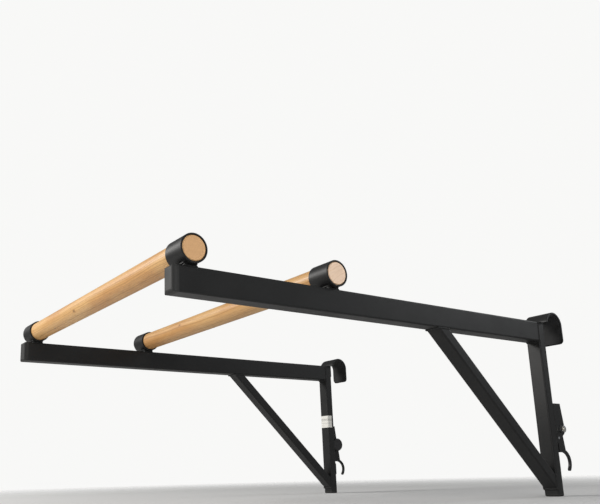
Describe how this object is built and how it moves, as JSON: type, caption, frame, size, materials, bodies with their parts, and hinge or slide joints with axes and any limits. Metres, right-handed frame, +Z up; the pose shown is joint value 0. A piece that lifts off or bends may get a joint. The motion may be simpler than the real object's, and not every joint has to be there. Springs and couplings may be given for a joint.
{
  "type": "wall ladder pull-up bar",
  "caption": "Pull-up attachment for a wall ladder: braced steel brackets hook over the rungs and hold round wooden bars in sleeves above cantilever arms.",
  "frame": {"origin": "on the axis of the ladder rung that the hooks hang from, midway between the two brackets", "axes": "+X along the bars, +Y towards the wall, +Z up"},
  "size_m": [0.708, 0.911, 0.391],
  "materials": {
    "frame_powder_coat": "satin black powder coat on welded steel tube",
    "catch_powder_coat": "satin black powder coat on steel plate",
    "cap_plastic": "fine-grained black plastic",
    "liner_rubber": "matt black rubber",
    "zinc_steel": "zinc-plated steel",
    "knob_plastic": "glass-filled black plastic",
    "beech": "clear-lacquered beech, grain along the bar",
    "label_film": "white vinyl film, blank"
  },
  "bodies": {
    "frame": {"arm_tube_left": "frame_powder_coat", "post_tube_left": "frame_powder_coat", "post_top_plate_left": "frame_powder_coat", "brace_tube_left": "frame_powder_coat", "hook_strap_left": "frame_powder_coat", "front_sleeve_left": "frame_powder_coat", "rear_sleeve_left": "frame_powder_coat", "sleeve_saddles_left": "frame_powder_coat", "catch_lug_left": "frame_powder_coat", "arm_front_cap_left": "cap_plastic", "post_foot_plug_left": "cap_plastic", "hook_liner_left": "liner_rubber", "rung_pads_left": "liner_rubber", "catch_bush_left": "zinc_steel", "catch_stop_left": "zinc_steel", "catch_nut_left": "zinc_steel", "arm_tube_right": "frame_powder_coat", "post_tube_right": "frame_powder_coat", "post_top_plate_right": "frame_powder_coat", "brace_tube_right": "frame_powder_coat", "hook_strap_right": "frame_powder_coat", "front_sleeve_right": "frame_powder_coat", "rear_sleeve_right": "frame_powder_coat", "sleeve_saddles_right": "frame_powder_coat", "catch_lug_right": "frame_powder_coat", "arm_front_cap_right": "cap_plastic", "post_foot_plug_right": "cap_plastic", "hook_liner_right": "liner_rubber", "rung_pads_right": "liner_rubber", "catch_bush_right": "zinc_steel", "catch_stop_right": "zinc_steel", "catch_nut_right": "zinc_steel", "front_bar": "beech", "rear_bar": "beech", "bar_screws": "zinc_steel", "post_label": "label_film"},
    "left_catch": {"rung_catch_left": "catch_powder_coat"},
    "left_washer": {"thrust_washer_left": "zinc_steel"},
    "left_knob": {"hand_knob_left": "knob_plastic", "knob_stud_left": "zinc_steel"},
    "right_catch": {"rung_catch_right": "catch_powder_coat"},
    "right_washer": {"thrust_washer_right": "zinc_steel"},
    "right_knob": {"hand_knob_right": "knob_plastic", "knob_stud_right": "zinc_steel"}
  },
  "joints": [
    {"name": "left_catch_swing", "type": "hinge", "parent": "frame", "child": "left_catch", "pos_m": [-0.3357, -0.0045, -0.211], "axis": [1, 0, 0], "range_deg": [0, 85]},
    {"name": "left_clamp_travel", "type": "slide", "parent": "frame", "child": "left_washer", "axis": [1, 0, 0], "range_m": [0, 0.0025]},
    {"name": "left_knob_turn", "type": "hinge", "parent": "left_washer", "child": "left_knob", "pos_m": [-0.329, -0.0045, -0.211], "axis": [1, 0, 0], "range_deg": [0, 720]},
    {"name": "right_catch_swing", "type": "hinge", "parent": "frame", "child": "right_catch", "pos_m": [0.3357, -0.0045, -0.211], "axis": [1, 0, 0], "range_deg": [0, 85]},
    {"name": "right_clamp_travel", "type": "slide", "parent": "frame", "child": "right_washer", "axis": [-1, 0, 0], "range_m": [0, 0.0025]},
    {"name": "right_knob_turn", "type": "hinge", "parent": "right_washer", "child": "right_knob", "pos_m": [0.329, -0.0045, -0.211], "axis": [-1, 0, 0], "range_deg": [0, 720]}
  ],
  "couplings": [
    {"joint": "left_knob_turn", "follows": "left_clamp_travel", "rad_per_m": 5026.5},
    {"joint": "right_knob_turn", "follows": "right_clamp_travel", "rad_per_m": 5026.5}
  ]
}
